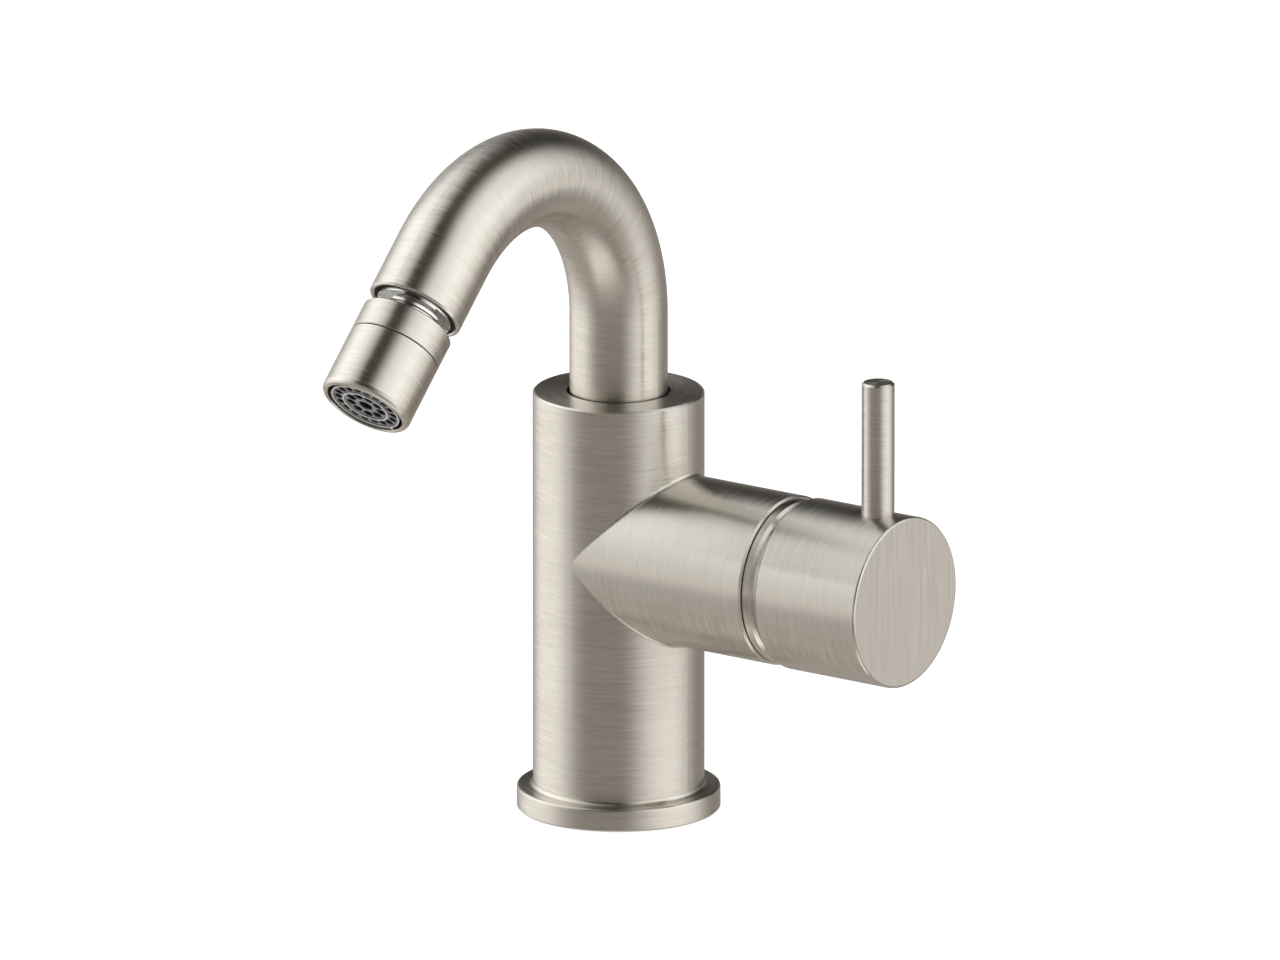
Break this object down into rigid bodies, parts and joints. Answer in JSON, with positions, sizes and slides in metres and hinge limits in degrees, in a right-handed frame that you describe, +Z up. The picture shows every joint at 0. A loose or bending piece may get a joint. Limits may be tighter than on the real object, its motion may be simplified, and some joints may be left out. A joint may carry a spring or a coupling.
{
  "type": "bidet mixer",
  "caption": "Deck-mounted bidet mixer with round body, side pin-lever handle, swivelling gooseneck spout and ball-jointed aerator nozzle.",
  "frame": {"origin": "centre of the underside of the base flange, on the deck plane", "axes": "+Z up along the body axis, spout towards -Y, handle and branch towards +X"},
  "size_m": [0.1198, 0.1453, 0.1914],
  "materials": {
    "nickel": "brushed nickel plating over brass",
    "polished": "polished",
    "brass": "machined",
    "screw_steel": "machined stainless steel",
    "rubber": "matte",
    "white_plastic": "moulded",
    "dark_plastic": "moulded",
    "grey_plastic": "moulded, satin",
    "ceramic": "lapped alumina"
  },
  "bodies": {
    "mixer": {"base_flange": "nickel", "base_seal": "rubber", "mixer_body": "nickel", "spout_stop_screw": "brass", "spout_slide_rings": "dark_plastic", "cartridge_base": "dark_plastic", "cartridge_base_seals": "rubber", "fixed_disc": "ceramic", "cartridge_housing": "white_plastic", "cartridge_nut": "brass", "dome_ring": "nickel"},
    "rotor": {"cartridge_rotor": "dark_plastic", "stem_pin": "screw_steel"},
    "carrier": {"disc_carrier": "white_plastic", "moving_disc": "ceramic"},
    "handle": {"cartridge_stem": "brass", "handle_shell": "nickel", "lever_pin": "nickel", "handle_grub_screw": "screw_steel", "handle_plug": "grey_plastic"},
    "spout": {"spout_tube": "nickel", "spout_root": "brass", "spout_o_rings": "rubber", "outlet_socket": "brass", "ball_retainer": "dark_plastic"},
    "liner": {"ball_liner": "white_plastic"},
    "nozzle": {"swivel_ball": "polished", "nozzle_collar": "nickel", "nozzle_sleeve": "nickel", "nozzle_seal": "rubber", "aerator_washer": "rubber", "aerator_body": "dark_plastic", "aerator_diffuser": "white_plastic", "aerator_screens": "screw_steel", "aerator_grille": "grey_plastic"}
  },
  "joints": [
    {"name": "handle_turn", "type": "hinge", "parent": "mixer", "child": "rotor", "pos_m": [0.046, 0, 0.0701], "axis": [1, 0, 0], "range_deg": [-50, 50]},
    {"name": "handle_tilt", "type": "hinge", "parent": "rotor", "child": "handle", "pos_m": [0.046, 0, 0.0701], "axis": [0, 1, 0], "range_deg": [0, 20]},
    {"name": "disc_slide", "type": "slide", "parent": "rotor", "child": "carrier", "axis": [0, 0, 1], "range_m": [0, 0.0035]},
    {"name": "spout_swivel", "type": "hinge", "parent": "mixer", "child": "spout", "pos_m": [0, 0, 0.1], "axis": [0, 0, 1], "range_deg": [-60, 60]},
    {"name": "nozzle_spin", "type": "hinge", "parent": "spout", "child": "liner", "pos_m": [0, -0.08708, 0.15477], "axis": [0, -0.7071, -0.7071], "continuous": true},
    {"name": "nozzle_tilt", "type": "hinge", "parent": "liner", "child": "nozzle", "pos_m": [0, -0.08708, 0.15477], "axis": [1, 0, 0], "range_deg": [-15, 15]}
  ],
  "couplings": [
    {"joint": "disc_slide", "follows": "handle_tilt", "m_per_rad": 0.01}
  ]
}
